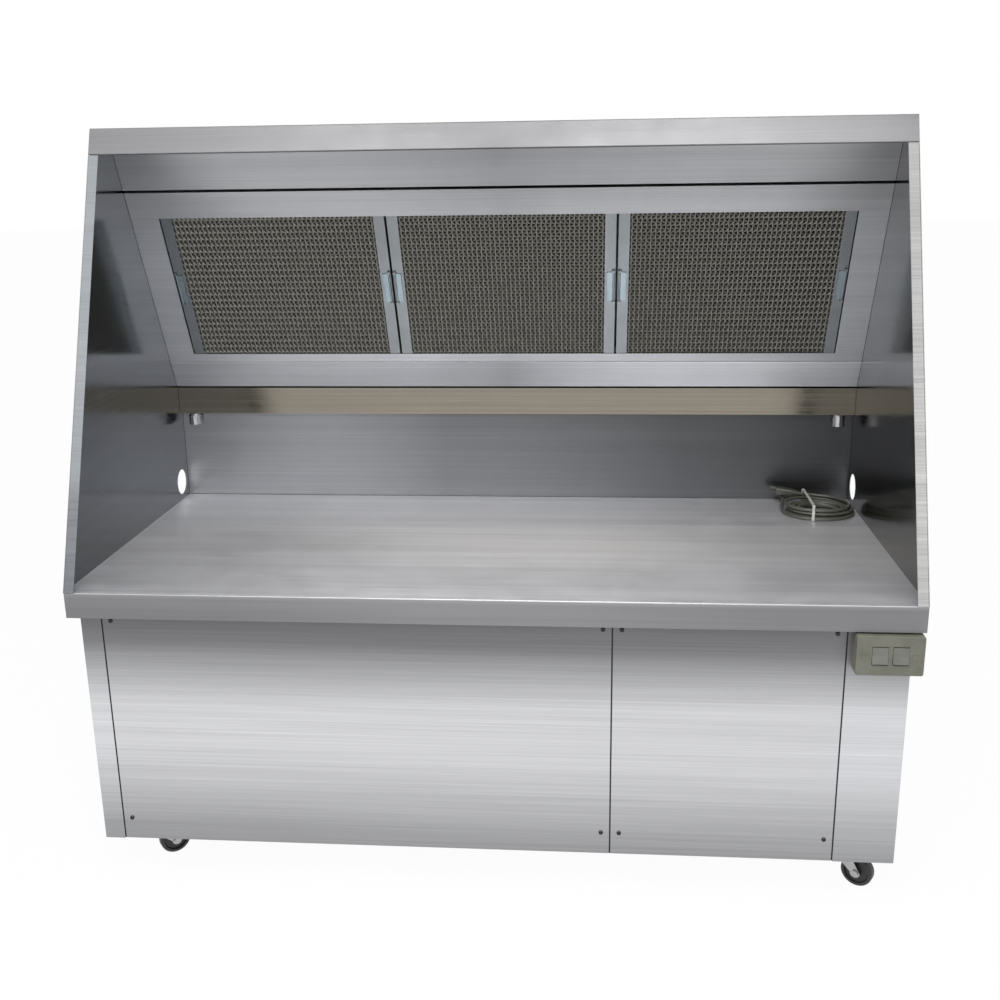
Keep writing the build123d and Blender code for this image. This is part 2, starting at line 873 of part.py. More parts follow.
with BuildPart() as blower_housing:
    with BuildSketch(Plane.YZ.offset(blower_x)):
        add(scroll_outline(0))
    extrude(amount=blower_width)
    with BuildSketch(Plane.YZ.offset(blower_x + sheet)):
        add(scroll_outline(sheet))
    extrude(amount=blower_width - 2 * sheet, mode=Mode.SUBTRACT)
    with BuildSketch(Plane.YZ.offset(blower_x)):
        with Locations((blower_y, blower_z)):
            Circle(inlet_radius)
    extrude(amount=sheet, mode=Mode.SUBTRACT)
    with BuildSketch(Plane.YZ.offset(blower_right - sheet)):
        with Locations((blower_y, blower_z)):
            Circle(shaft_radius + 4)
    extrude(amount=sheet, mode=Mode.SUBTRACT)
    for foot_y in (blower_y - blower_inner_radius / 2, blower_y + blower_inner_radius / 2):
        with BuildSketch(Plane.XY.offset(cabinet_z + sheet)):
            with Locations((blower_x + blower_width / 2, foot_y)):
                Rectangle(blower_width - 20, 3 * sheet)
        extrude(until=Until.NEXT)
write(blower_housing.part, "blower_housing")

impeller_left = blower_x + (blower_width - impeller_width) / 2
impeller_right = impeller_left + impeller_width
hub_length = 30
motor_start = blower_right + 10
with BuildPart() as impeller:
    with BuildSketch(Plane.YZ.offset(impeller_right)):
        with Locations((blower_y, blower_z)):
            Circle(impeller_radius)
    extrude(amount=-blade_sheet)
    with BuildSketch(Plane.YZ.offset(impeller_left)):
        with Locations((blower_y, blower_z)):
            Circle(impeller_radius)
            Circle(impeller_radius - 2 * blade_depth / 3, mode=Mode.SUBTRACT)
    extrude(amount=blade_sheet)
    with BuildSketch(Plane.YZ.offset(impeller_left)):
        with Locations((blower_y, blower_z)):
            with PolarLocations(impeller_radius - blade_depth / 2, blade_count):
                Rectangle(blade_depth, blade_sheet, rotation=blade_angle)
    extrude(amount=impeller_width)
    with BuildSketch(Plane.YZ.offset(impeller_right)):
        with Locations((blower_y, blower_z)):
            Circle(3 * shaft_radius)
    extrude(amount=-hub_length)
    with BuildSketch(Plane.YZ.offset(impeller_right)):
        with Locations((blower_y, blower_z)):
            Circle(shaft_radius)
    extrude(amount=motor_start + motor_length / 2 - impeller_right)
write(impeller.part, "blower_impeller")

with BuildPart() as motor:
    with BuildSketch(Plane.YZ.offset(motor_start)):
        with Locations((blower_y, blower_z)):
            Circle(motor_radius)
    extrude(amount=motor_length)
    fillet(motor.edges().filter_by(GeomType.CIRCLE), 8)
    with BuildSketch(Plane.XY.offset(cabinet_z + sheet)):
        with Locations((motor_start + motor_length / 2, blower_y)):
            Rectangle(motor_length - 30, motor_foot)
    extrude(amount=3 * sheet)
    for rib_y in (blower_y - motor_foot / 4, blower_y + motor_foot / 4):
        with BuildSketch(Plane.XY.offset(cabinet_z + sheet)):
            with Locations((motor_start + motor_length / 2, rib_y)):
                Rectangle(motor_length - 40, 4 * sheet)
        extrude(amount=blower_z - cabinet_z - sheet - motor_radius / 2)
    with BuildSketch(Plane.YZ.offset(motor_start)):
        with Locations((blower_y, blower_z)):
            Circle(shaft_radius + axle_clearance)
    extrude(amount=motor_length / 2 + fit_gap, mode=Mode.SUBTRACT)
write(motor.part, "blower_motor")

# Switch box on the right stile: a box open to the front, its cover, and two rockers.
box_left = box_from_middle
box_top = bench_z - box_drop
box_z = box_top - box_height
box_middle = (box_left + box_width / 2, box_z + box_height / 2)
box_face = cabinet_front - box_depth + cover_thickness
cover_face = box_face - cover_thickness
with BuildPart() as switch_box:
    with BuildSketch(Plane.XZ.offset(-cabinet_front)):
        with Locations(box_middle):
            RectangleRounded(box_width, box_height, 4)
    extrude(amount=cabinet_front - box_face)
    offset(amount=-box_wall, openings=switch_box.faces().sort_by(Axis.Y)[0])
write(switch_box.part, "switch_box")

rocker_xs = [box_middle[0] - rocker_pitch / 2, box_middle[0] + rocker_pitch / 2]
window_width = rocker_width + 2 * rocker_clearance
window_height = rocker_height + 2 * rocker_clearance
pin_y = cover_face + cover_thickness + rocker_pin_radius + 1
with BuildPart() as switch_cover:
    with BuildSketch(Plane.XZ.offset(-box_face)):
        with Locations(box_middle):
            RectangleRounded(box_width, box_height, 4)
    extrude(amount=cover_thickness)
    fillet(switch_cover.faces().sort_by(Axis.Y)[0].edges(), 1.2)
    with BuildSketch(Plane.XZ.offset(-cover_face - 0.5)):
        with Locations((box_middle[0] - 45, box_middle[1] - 3), (box_middle[0] + 46, box_middle[1] - 3)):
            Rectangle(14, 12)
    extrude(amount=1.3)
    for x in rocker_xs:
        with BuildSketch(Plane.XZ.offset(-box_face - box_wall * 3)):
            with Locations((x, box_middle[1])):
                Rectangle(window_width + 2 * box_wall, window_height + 2 * box_wall)
        extrude(until=Until.NEXT)
        with BuildSketch(Plane.XZ.offset(-box_face - box_wall * 3 - 1)):
            with Locations((x, box_middle[1])):
                Rectangle(window_width, window_height)
        extrude(amount=box_wall * 3 + cover_thickness + 4, mode=Mode.SUBTRACT)
        with BuildSketch(Plane.YZ.offset(x)):
            with Locations((pin_y, box_middle[1])):
                Circle(rocker_pin_radius + pin_clearance)
        extrude(amount=window_width / 2 + box_wall + 1, both=True, mode=Mode.SUBTRACT)
write(switch_cover.part, "switch_cover")


def rocker(x):
    """A rocker with a faceted face: its upper half lies flat while the lower half stands out."""
    half_height = rocker_height / 2
    upper = half_height - rocker_upper_relief
    lower = half_height - rocker_lower_relief
    rise = lower * tan(radians(rocker_tip))
    with BuildPart() as key:
        with BuildSketch(Plane.YZ.offset(x - rocker_width / 2)):
            with BuildLine():
                face = cover_face - 0.5
                Polyline(
                    (face, box_middle[1] + upper),
                    (face, box_middle[1]),
                    (face - rise, box_middle[1] - lower),
                    (pin_y - 1, box_middle[1] - half_height + 1.5),
                    (pin_y + 2.5, box_middle[1] - 5),
                    (pin_y + 2.5, box_middle[1] + 5),
                    (pin_y - 1, box_middle[1] + half_height - 1.5),
                    close=True,
                )
            make_face()
        extrude(amount=rocker_width)
        with BuildSketch(Plane.YZ.offset(x)):
            with Locations((pin_y, box_middle[1])):
                Circle(rocker_pin_radius)
        extrude(amount=window_width / 2 + box_wall, both=True)
    return key.part


write(rocker(rocker_xs[0]), "left_rocker")
write(rocker(rocker_xs[1]), "right_rocker")

# Castors: a top plate with a kingpin, a fork with its raceway, an axle and a wheel.
fork_top = cabinet_z - castor_plate_thickness - fit_gap
fork_crown = 2 * wheel_radius + 4
leg_inner = wheel_width / 2 + fork_gap
castor_places = {
    "front_left": (-castor_from_middle, front_y + castor_inset),
    "front_right": (castor_from_middle, front_y + castor_inset),
    "rear_left": (-castor_from_middle, rear_y - castor_inset),
    "rear_right": (castor_from_middle, rear_y - castor_inset),
}
with BuildPart() as castor_plates:
    for place in castor_places.values():
        with BuildSketch(Plane.XY.offset(cabinet_z)):
            with Locations(place):
                RectangleRounded(castor_plate_size, castor_plate_size, 6)
                with GridLocations(castor_plate_size - 16, castor_plate_size - 16, 2, 2):
                    Circle(3.2, mode=Mode.SUBTRACT)
        extrude(amount=-castor_plate_thickness)
        with BuildSketch(Plane.XY.offset(cabinet_z)):
            with Locations(place):
                Circle(kingpin_radius)
        extrude(amount=-(cabinet_z - fork_crown + fit_gap))
        with BuildSketch(Plane.XY.offset(fork_crown - fit_gap)):
            with Locations(place):
                Circle(kingpin_radius + 2)
        extrude(amount=-1.5)
write(castor_plates.part, "castor_plates")


def turned(place, angle):
    """A castor's own frame: X runs from the kingpin towards its axle, on the floor."""
    return Plane(origin=(*place, 0), x_dir=(cos(radians(angle)), sin(radians(angle)), 0), z_dir=(0, 0, 1))


def castor_fork(frame):
    """A domed raceway, a crown and two legs that trail down to the axle."""
    side = Plane(origin=frame.origin, x_dir=frame.x_dir, z_dir=-frame.y_dir)
    hub = (castor_trail, wheel_radius)
    with BuildPart() as fork:
        with BuildSketch(frame.offset(fork_crown)):
            Circle(raceway_radius)
        extrude(amount=fork_top - fork_crown, taper=12)
        for end in (-1, 1):
            with BuildSketch(side.offset(end * (leg_inner + fork_sheet / 2))):
                with BuildLine():
                    leg = Polyline(
                        (hub[0] + axle_radius + 6, hub[1]),
                        (raceway_radius - 2, fork_crown + fork_sheet),
                        (-raceway_radius + 5, fork_crown + fork_sheet),
                        (-raceway_radius + 9, fork_crown - 6),
                        (hub[0] - axle_radius - 6, hub[1]),
                    )
                    ThreePointArc(leg @ 1, (hub[0], hub[1] - axle_radius - 6), leg @ 0)
                make_face()
                with Locations(hub):
                    Circle(axle_radius, mode=Mode.SUBTRACT)
            extrude(amount=fork_sheet / 2, both=True)
        with BuildSketch(frame.offset(fork_crown - 1)):
            Circle(kingpin_radius + axle_clearance)
        extrude(amount=fork_top - fork_crown + 2, mode=Mode.SUBTRACT)
    return fork.part


def castor_wheel(frame):
    """A tread with rounded shoulders, a recessed web on both faces, a hub and its bore."""
    axis_point = frame.origin + frame.x_dir * castor_trail + Vector(0, 0, wheel_radius)
    profile = Plane(origin=axis_point, x_dir=frame.y_dir, z_dir=frame.x_dir)
    half_width = wheel_width / 2
    with BuildPart() as wheel:
        with BuildSketch(profile):
            with BuildLine():
                Polyline(
                    (-half_width, axle_radius + axle_clearance),
                    (-half_width, axle_radius + 5),
                    (-half_width + 6, axle_radius + 6),
                    (-half_width + 6, wheel_radius - 9),
                    (-half_width + 2, wheel_radius - 7),
                    (-half_width + 2, wheel_radius - 3),
                    (-half_width + 5, wheel_radius),
                    (half_width - 5, wheel_radius),
                    (half_width - 2, wheel_radius - 3),
                    (half_width - 2, wheel_radius - 7),
                    (half_width - 6, wheel_radius - 9),
                    (half_width - 6, axle_radius + 6),
                    (half_width, axle_radius + 5),
                    (half_width, axle_radius + axle_clearance),
                    close=True,
                )
            make_face()
        revolve(axis=Axis(axis_point, frame.y_dir))
    return wheel.part


def castor_axle(frame):
    """A bolt through the fork, with a six-sided head and nut outside the legs."""
    side = Plane(origin=frame.origin, x_dir=frame.x_dir, z_dir=-frame.y_dir)
    hub = (castor_trail, wheel_radius)
    reach = leg_inner + fork_sheet
    with BuildPart() as axle:
        with BuildSketch(side):
            with Locations(hub):
                Circle(axle_radius)
        extrude(amount=reach, both=True)
        for end in (-1, 1):
            with BuildSketch(side.offset(end * reach)):
                with Locations(hub):
                    RegularPolygon(axle_radius + 3, 6, major_radius=True)
            extrude(amount=end * 4)
    return axle.part


for name, place in castor_places.items():
    frame = turned(place, castor_angles[name])
    write(castor_fork(frame), f"{name}_castor_fork")
    write(castor_wheel(frame), f"{name}_castor_wheel")
    write(castor_axle(frame), f"{name}_castor_axle")

# Mains lead: a gland low on the back wall, a short free stretch, a loose coil, tie and plug.
gland_z = bench_z + gland_height
with BuildPart() as gland:
    with BuildSketch(Plane.XZ.offset(-wall_y)):
        with Locations((gland_x, gland_z)):
            RegularPolygon(gland_nut_radius, 6, major_radius=True)
    extrude(amount=gland_nut_length)
    with BuildSketch(Plane.XZ.offset(-wall_y + gland_nut_length)):
        with Locations((gland_x, gland_z)):
            Circle(gland_nut_radius * 0.75)
    extrude(amount=relief_length, taper=5)
    with BuildSketch(Plane.XZ.offset(-wall_y - 12)):
        with Locations((gland_x, gland_z)):
            Circle(lead_radius + 0.8)
    extrude(amount=13)
write(gland.part, "cord_gland")

relief_tip = wall_y - gland_nut_length - relief_length
lead_points = [
    (gland_x, relief_tip, gland_z),
    (gland_x, relief_tip - 14, gland_z),
    (gland_x + 2, relief_tip - 27, gland_z - 2),
    (gland_x + 8, relief_tip - 39, gland_z - 3),
]
runs = [Vector(b) - Vector(a) for a, b in zip(lead_points, lead_points[1:])]
lead_radii = [
    0.45 * min(a.length, b.length) / tan(radians(a.get_angle(b) / 2)) for a, b in zip(runs, runs[1:])
]
with BuildPart() as lead:
    with BuildLine() as route:
        FilletPolyline(*lead_points, radius=lead_radii)
    with BuildSketch(Plane(origin=lead_points[0], z_dir=runs[0])):
        Circle(lead_radius)
    sweep(path=route.wires()[0])
write(lead.part, "power_lead")

coil_x, coil_depth = coil_centre
coil_y = front_y + coil_depth
tie_x = coil_x - tie_from_centre
with BuildPart() as coil:
    with BuildSketch(Plane.XY.offset(bench_z)):
        with Locations((coil_x, coil_y)):
            Ellipse(coil_half_width, coil_half_depth)
            Ellipse(coil_half_width - coil_band_x, coil_half_depth - coil_band_y, mode=Mode.SUBTRACT)
    extrude(amount=coil_height)
    fillet(coil.edges(), 7)
    with BuildSketch(Plane.XY.offset(bench_z)):
        with Locations((tie_x, coil_y)):
            Rectangle(tie_width + 2 * fit_gap, 2 * coil_half_depth)
    extrude(amount=tie_sheet + 2 * fit_gap, mode=Mode.SUBTRACT)
write(coil.part, "lead_coil")

# Cable tie: a band right round the coil, with its head on top.
near_edge = (tie_from_centre - tie_width / 2) / coil_half_width
tie_half = coil_half_depth * (1 - near_edge**2) ** 0.5 + fit_gap
tie_inner_height = coil_height - 2 * fit_gap
with BuildPart() as tie:
    with BuildSketch(Plane.YZ.offset(tie_x - tie_width / 2)):
        with Locations((coil_y, bench_z + fit_gap + tie_sheet + tie_inner_height / 2)):
            RectangleRounded(
                2 * (tie_half + tie_sheet),
                tie_inner_height + 2 * tie_sheet,
                tie_corner + tie_sheet,
            )
            RectangleRounded(2 * tie_half, tie_inner_height, tie_corner, mode=Mode.SUBTRACT)
    extrude(amount=tie_width)
write(tie.part, "cable_tie")

# Plug: a boot, a moulded body and three flat pins. It lies against the coil's back edge.
plug_tail = Vector(plug_place[0], front_y + plug_place[1], bench_z + plug_place[2])
plug_run = Vector(*plug_heading).normalized()
plug_length, plug_width, plug_thickness = plug_body


def plug_plane(run):
    """The plane across the plug, at a distance from its tail."""
    return Plane(origin=plug_tail + plug_run * run, x_dir=(0, 0, 1), z_dir=plug_run)


with BuildPart() as plug:
    with BuildSketch(plug_plane(0)):
        Circle(lead_radius + 0.8)
    with BuildSketch(plug_plane(boot_length)):
        Circle(plug_thickness / 2 - 1)
    loft()
    with BuildSketch(plug_plane(boot_length)):
        RectangleRounded(plug_thickness - 3, plug_width - 6, 5)
    with BuildSketch(plug_plane(boot_length + plug_length)):
        RectangleRounded(plug_thickness, plug_width, 6)
    loft()
    with BuildSketch(plug_plane(boot_length + plug_length)):
        with Locations(Location((-3, 7), 30), Location((-3, -7), -30)):
            Rectangle(6.3, 1.6)
        with Locations((5, 0)):
            Rectangle(6.3, 1.6)
    extrude(amount=pin_blade)
write(plug.part, "mains_plug")
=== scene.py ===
from math import cos, pi, radians, sin

import bpy
from mathutils import Matrix, Vector


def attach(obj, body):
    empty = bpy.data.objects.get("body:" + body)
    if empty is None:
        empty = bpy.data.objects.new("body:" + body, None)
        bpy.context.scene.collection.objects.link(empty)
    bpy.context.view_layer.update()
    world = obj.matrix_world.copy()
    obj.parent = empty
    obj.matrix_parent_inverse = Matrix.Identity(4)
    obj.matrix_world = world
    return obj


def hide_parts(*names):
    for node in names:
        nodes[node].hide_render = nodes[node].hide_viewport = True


# Ductless exhaust hood on a mobile bench, in metres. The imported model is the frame.
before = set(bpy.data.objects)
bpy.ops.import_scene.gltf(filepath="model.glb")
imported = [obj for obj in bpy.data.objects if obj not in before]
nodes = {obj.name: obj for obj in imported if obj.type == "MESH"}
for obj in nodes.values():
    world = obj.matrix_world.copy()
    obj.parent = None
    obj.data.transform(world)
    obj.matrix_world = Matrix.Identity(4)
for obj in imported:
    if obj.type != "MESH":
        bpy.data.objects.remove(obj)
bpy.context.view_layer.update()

# Sizes shared with the part's source
HALF_WIDTH = 0.800
CABINET_Z = 0.086
BENCH_Z = 0.620
SLOPE_ANGLE = radians(64.7)
SLOPE_FOOT = Vector((0, 0.2647, 0.8933))
FILTER_FOOT = 0.0689
FILTER_WIDTH = 0.486
FILTER_HEIGHT = 0.3945
FILTER_PITCH = 0.491
FILTER_FACE = 0.0018
FOIL_ROOM = 0.001
LEAD_RADIUS = 0.004
GLAND_X = 0.640
COIL_X = 0.711
COIL_Y = 0.169


# Camera

def set_camera():
    """The photograph's viewpoint: a little above the hood, turned and tilted down."""
    place = (0.2030, -2.4224, 1.3744)
    yaw = radians(4.85)
    pitch = radians(15.69)
    roll = radians(-0.81)
    ahead = Vector((-sin(yaw) * cos(pitch), cos(yaw) * cos(pitch), -sin(pitch)))
    level = Vector((cos(yaw), sin(yaw), 0))
    upright = level.cross(ahead)
    right = level * cos(roll) + upright * sin(roll)
    up = upright * cos(roll) - level * sin(roll)
    camera_data = bpy.data.cameras.new("camera")
    camera_data.lens = 41.84
    camera_data.sensor_width = 36
    camera = bpy.data.objects.new("camera", camera_data)
    axes = Matrix((right, up, -ahead)).transposed()
    camera.matrix_world = Matrix.Translation(place) @ axes.to_4x4()
    bpy.context.collection.objects.link(camera)
    bpy.context.scene.camera = camera


set_camera()


# Materials

class Finish:
    """A new node material, with short ways to add nodes and to join them."""

    def __init__(self, name):
        self.material = bpy.data.materials.new(name)
        self.material.use_nodes = True
        self.tree = self.material.node_tree
        self.shader = self.tree.nodes["Principled BSDF"]

    def node(self, kind, **settings):
        added = self.tree.nodes.new(kind)
        for key, value in settings.items():
            setattr(added, key, value)
        return added

    def join(self, source, target):
        self.tree.links.new(source, target)

    def place(self, scale=(1, 1, 1)):
        """Object coordinates, scaled."""
        coordinates = self.node("ShaderNodeTexCoord")
        mapping = self.node("ShaderNodeMapping")
        mapping.inputs["Scale"].default_value = scale
        self.join(coordinates.outputs["Object"], mapping.inputs["Vector"])
        return mapping.outputs["Vector"]

    def noise(self, where, scale=1.0, detail=3.0, rough=0.55):
        """Noise over a place, as a value about the middle of 0 to 1."""
        texture = self.node("ShaderNodeTexNoise")
        texture.inputs["Scale"].default_value = scale
        texture.inputs["Detail"].default_value = detail
        texture.inputs["Roughness"].default_value = rough
        self.join(where, texture.inputs["Vector"])
        return texture.outputs["Fac"]

    def spread(self, source, low, high, start=0.3, end=0.7):
        """A value that runs from low to high while the source runs from start to end."""
        ranged = self.node("ShaderNodeMapRange")
        ranged.inputs["From Min"].default_value = start
        ranged.inputs["From Max"].default_value = end
        ranged.inputs["To Min"].default_value = low
        ranged.inputs["To Max"].default_value = high
        self.join(source, ranged.inputs["Value"])
        return ranged.outputs["Result"]

    def tones(self, source, stops):
        """Colours along a value, given as (position, colour) stops."""
        ramp = self.node("ShaderNodeValToRGB")
        elements = ramp.color_ramp.elements
        for stop, (position, colour) in enumerate(stops):
            element = elements[stop] if stop < 2 else elements.new(position)
            element.position = position
            element.color = (*colour, 1)
        self.join(source, ramp.inputs["Fac"])
        return ramp.outputs["Color"]

    def multiply(self, first, second):
        """Two colours multiplied."""
        mixed = self.node("ShaderNodeMix", data_type="RGBA", blend_type="MULTIPLY")
        mixed.inputs["Factor"].default_value = 1.0
        self.join(first, mixed.inputs["A"])
        self.join(second, mixed.inputs["B"])
        return mixed.outputs["Result"]

    def colour(self, source):
        self.join(source, self.shader.inputs["Base Color"])

    def roughness(self, source):
        self.join(source, self.shader.inputs["Roughness"])

    def bump(self, source, height, strength):
        bumped = self.node("ShaderNodeBump")
        bumped.inputs["Distance"].default_value = height
        bumped.inputs["Strength"].default_value = strength
        self.join(source, bumped.inputs["Height"])
        self.join(bumped.outputs["Normal"], self.shader.inputs["Normal"])


def shade(colour, amount):
    """A colour made lighter or darker."""
    return tuple(min(channel * amount, 1.0) for channel in colour)


LEVEL_GRAIN = (1.5, 420, 420)
UPRIGHT_GRAIN = (1.5, 1.5, 420)
EVEN_GRAIN = (420, 420, 420)


def brushed_sheet(name, tone, rough, grain=LEVEL_GRAIN, bands=(), relief=0.5):
    """Brushed stainless sheet: fine streaks along its grain, broad faint bands, a few scuffs,
    and painted light and shade along the axes of its bands.
    """
    finish = Finish(name)
    finish.shader.inputs["Metallic"].default_value = 1.0
    streaks = finish.noise(finish.place(grain), 1.0, 4.0, 0.65)
    wide = finish.noise(finish.place([0.05 * value + 0.6 for value in grain]), 1.0, 2.0)
    scuffs = finish.noise(finish.place((9, 9, 9)), 1.0, 5.0, 0.7)
    streaked = finish.tones(streaks, [(0.25, shade(tone, 0.86)), (0.75, shade(tone, 1.12))])
    broad = finish.tones(wide, [(0.3, (0.9, 0.9, 0.9)), (0.7, (1, 1, 1))])
    coloured = finish.multiply(streaked, broad)
    # Painted light and shade: each band darkens or lightens the sheet along one axis
    for axis, start, end, shades in bands:
        place = finish.node("ShaderNodeSeparateXYZ")
        finish.join(finish.place(), place.inputs["Vector"])
        along = place.outputs["X" if axis == "DISTANCE" else axis]
        if axis == "DISTANCE":
            unsigned = finish.node("ShaderNodeMath", operation="ABSOLUTE")
            finish.join(along, unsigned.inputs[0])
            along = unsigned.outputs["Value"]
        share = finish.spread(along, 0, 1, start, end)
        greys = [(position, (value, value, value * 1.01)) for position, value in shades]
        coloured = finish.multiply(coloured, finish.tones(share, greys))
    finish.colour(coloured)
    worn = finish.node("ShaderNodeMath", operation="ADD")
    finish.join(finish.spread(streaks, rough - 0.05, rough + 0.06), worn.inputs[0])
    finish.join(finish.spread(scuffs, -0.03, 0.05), worn.inputs[1])
    finish.roughness(worn.outputs["Value"])
    finish.bump(streaks, 0.00012, relief)
    return finish.material


def zinc_sheet(name, tone, rough=0.42):
    """Galvanised sheet with its spangle."""
    finish = Finish(name)
    finish.shader.inputs["Metallic"].default_value = 0.9
    spangle = finish.node("ShaderNodeTexVoronoi")
    spangle.inputs["Scale"].default_value = 90
    finish.join(finish.place(), spangle.inputs["Vector"])
    patches = finish.noise(finish.place(), 14, 3)
    flakes = [(0.2, shade(tone, 0.85)), (0.8, shade(tone, 1.1))]
    tinted = finish.tones(spangle.outputs["Color"], flakes)
    clouds = finish.tones(patches, [(0.3, (0.88, 0.88, 0.9)), (0.7, (1, 1, 1))])
    finish.colour(finish.multiply(tinted, clouds))
    finish.roughness(finish.spread(patches, rough - 0.06, rough + 0.08))
    finish.bump(patches, 0.0002, 0.3)
    return finish.material


def plated(name, tone, rough=0.22):
    """Bright plating, a little clouded."""
    finish = Finish(name)
    finish.shader.inputs["Metallic"].default_value = 1.0
    clouds = finish.noise(finish.place(), 70, 4)
    finish.colour(finish.tones(clouds, [(0.3, shade(tone, 0.8)), (0.7, tone)]))
    finish.roughness(finish.spread(clouds, rough - 0.05, rough + 0.12))
    finish.bump(clouds, 0.0001, 0.3)
    return finish.material


def moulded(name, tone, rough=0.45, speckle=900, dirt=0.8, depth=0.00008):
    """Moulded plastic or rubber with a fine texture and some handling marks."""
    finish = Finish(name)
    fine = finish.noise(finish.place(), speckle, 2)
    marks = finish.noise(finish.place(), 26, 5, 0.65)
    plain = finish.tones(fine, [(0.3, shade(tone, 0.92)), (0.7, shade(tone, 1.05))])
    marked = finish.tones(marks, [(0.35, (dirt, dirt, dirt * 0.97)), (0.6, (1, 1, 1))])
    finish.colour(finish.multiply(plain, marked))
    finish.roughness(finish.spread(marks, rough - 0.08, rough + 0.1))
    finish.bump(fine, depth, 0.6)
    return finish.material


# The walls' painted shades run from this distance to their outer face, with the inner face
# halfway
WALL_SHADES_FROM = 0.797
# The worktop's painted shades run from this height to its top, and all below keeps the first one
TOP_SHADES_FROM = 0.610

# Painted light and shade on a sheet, standing in for shadows and reflections. Each has an axis,
# or
# DISTANCE for how far it is from the middle along X, then where it starts and ends, and its
# (share of the way, shade) stops.
# Painted shade under the worktop and near the floor, with a painted sheen between, up the
# cabinet's panels and sides
FRONT_PAINTED_SHADE = (
    "Z", CABINET_Z, BENCH_Z,
    [
        (0.0, 0.48), (0.07, 0.55), (0.24, 0.8), (0.41, 1.0),
        (0.57, 0.95), (0.71, 0.6), (0.81, 0.32), (0.95, 0.2),
    ],
)
# Painted shade on the worktop's turned-down edge and all below its top face, which stays bright
TOP_EDGE_PAINTED_SHADE = ("Z", TOP_SHADES_FROM, BENCH_Z, [(0.0, 0.34), (0.93, 0.4), (0.96, 1.0)])
# Painted light in the middle of the worktop, darker towards its ends
TOP_PAINTED_SHEEN = (
    "X", -HALF_WIDTH, HALF_WIDTH,
    [(0.0, 0.84), (0.2, 0.86), (0.42, 1.0), (0.6, 1.0), (0.85, 0.86)],
)
# Painted light and shade on the hood's back wall, standing in for reflections: bright at the
# left, darker to the right
BACK_PAINTED_SHADE = (
    "X", -HALF_WIDTH, HALF_WIDTH,
    [(0.0, 1.0), (0.1, 1.0), (0.4, 0.4), (0.75, 0.24)],
)
# Painted reflection across the hood's roof: darker in the middle, lighter at the ends
ROOF_PAINTED_SHADE = (
    "X", -HALF_WIDTH, HALF_WIDTH,
    [(0.0, 0.55), (0.3, 0.4), (0.5, 0.26), (0.8, 0.46), (0.95, 0.58)],
)
# Painted light and shade across the filter bulkhead, standing in for reflections: bright at the
# left, darkest in the middle
BULKHEAD_PAINTED_SHADE = (
    "X", -HALF_WIDTH, HALF_WIDTH,
    [(0.0, 1.0), (0.15, 1.0), (0.5, 0.56), (0.85, 0.82)],
)
# Painted light and shade across the lower rail, standing in for reflections: darkest in the
# middle
RAIL_PAINTED_SHADE = (
    "X", -HALF_WIDTH, HALF_WIDTH,
    [(0.0, 0.8), (0.15, 0.8), (0.5, 0.38), (0.85, 0.95)],
)
# Painted shade on the left wall's inner face and return, darker than its bright outer face
LEFT_WALL_PAINTED_SHADE = (
    "DISTANCE", WALL_SHADES_FROM, HALF_WIDTH,
    [(0.0, 0.5), (0.36, 0.5), (0.4, 0.34), (0.6, 0.34), (0.64, 0.48), (0.96, 0.48), (0.99, 1.0)],
)
# Painted shade on the right wall's inner face, much darker than its return and outer face
RIGHT_WALL_PAINTED_SHADE = (
    "DISTANCE", WALL_SHADES_FROM, HALF_WIDTH,
    [(0.0, 1.0), (0.36, 1.0), (0.4, 0.19), (0.6, 0.19), (0.64, 1.0)],
)
bench_steel = brushed_sheet(
    "bench_steel", (0.96, 0.965, 0.99), 0.55, bands=(TOP_EDGE_PAINTED_SHADE, TOP_PAINTED_SHEEN)
)
roof_steel = brushed_sheet("roof_steel", (0.42, 0.42, 0.425), 0.46, bands=(ROOF_PAINTED_SHADE,))
panel_steel = brushed_sheet(
    "panel_steel", (0.72, 0.722, 0.735), 0.42, UPRIGHT_GRAIN, (FRONT_PAINTED_SHADE,), 0.3
)
side_steel = brushed_sheet(
    "side_steel", (0.75, 0.755, 0.77), 0.42, UPRIGHT_GRAIN, (FRONT_PAINTED_SHADE,), 0.3
)
# The front frame behind the panels is near black: painted shadow in the gaps between the panels
gap_shadow_steel = brushed_sheet("gap_shadow_steel", (0.05, 0.05, 0.05), 0.5)
bulkhead_steel = brushed_sheet(
    "bulkhead_steel", (0.49, 0.495, 0.505), 0.38, bands=(BULKHEAD_PAINTED_SHADE,), relief=0.35
)
rail_steel = brushed_sheet(
    "rail_steel", (0.53, 0.535, 0.545), 0.38, bands=(RAIL_PAINTED_SHADE,), relief=0.35
)
cover_steel = brushed_sheet(
    "cover_steel", (0.5, 0.505, 0.515), 0.4, UPRIGHT_GRAIN, relief=0.3
)
# The left wall's blue-grey tint is a painted reflection
left_wall_steel = brushed_sheet(
    "left_wall_steel", (0.5, 0.53, 0.56), 0.14, UPRIGHT_GRAIN, (LEFT_WALL_PAINTED_SHADE,), 0.1
)
right_wall_steel = brushed_sheet(
    "right_wall_steel", (0.55, 0.55, 0.54), 0.14, UPRIGHT_GRAIN, (RIGHT_WALL_PAINTED_SHADE,), 0.1
)
back_wall_steel = brushed_sheet(
    "back_wall_steel", (0.34, 0.345, 0.353), 0.34, UPRIGHT_GRAIN, (BACK_PAINTED_SHADE,), 0.3
)
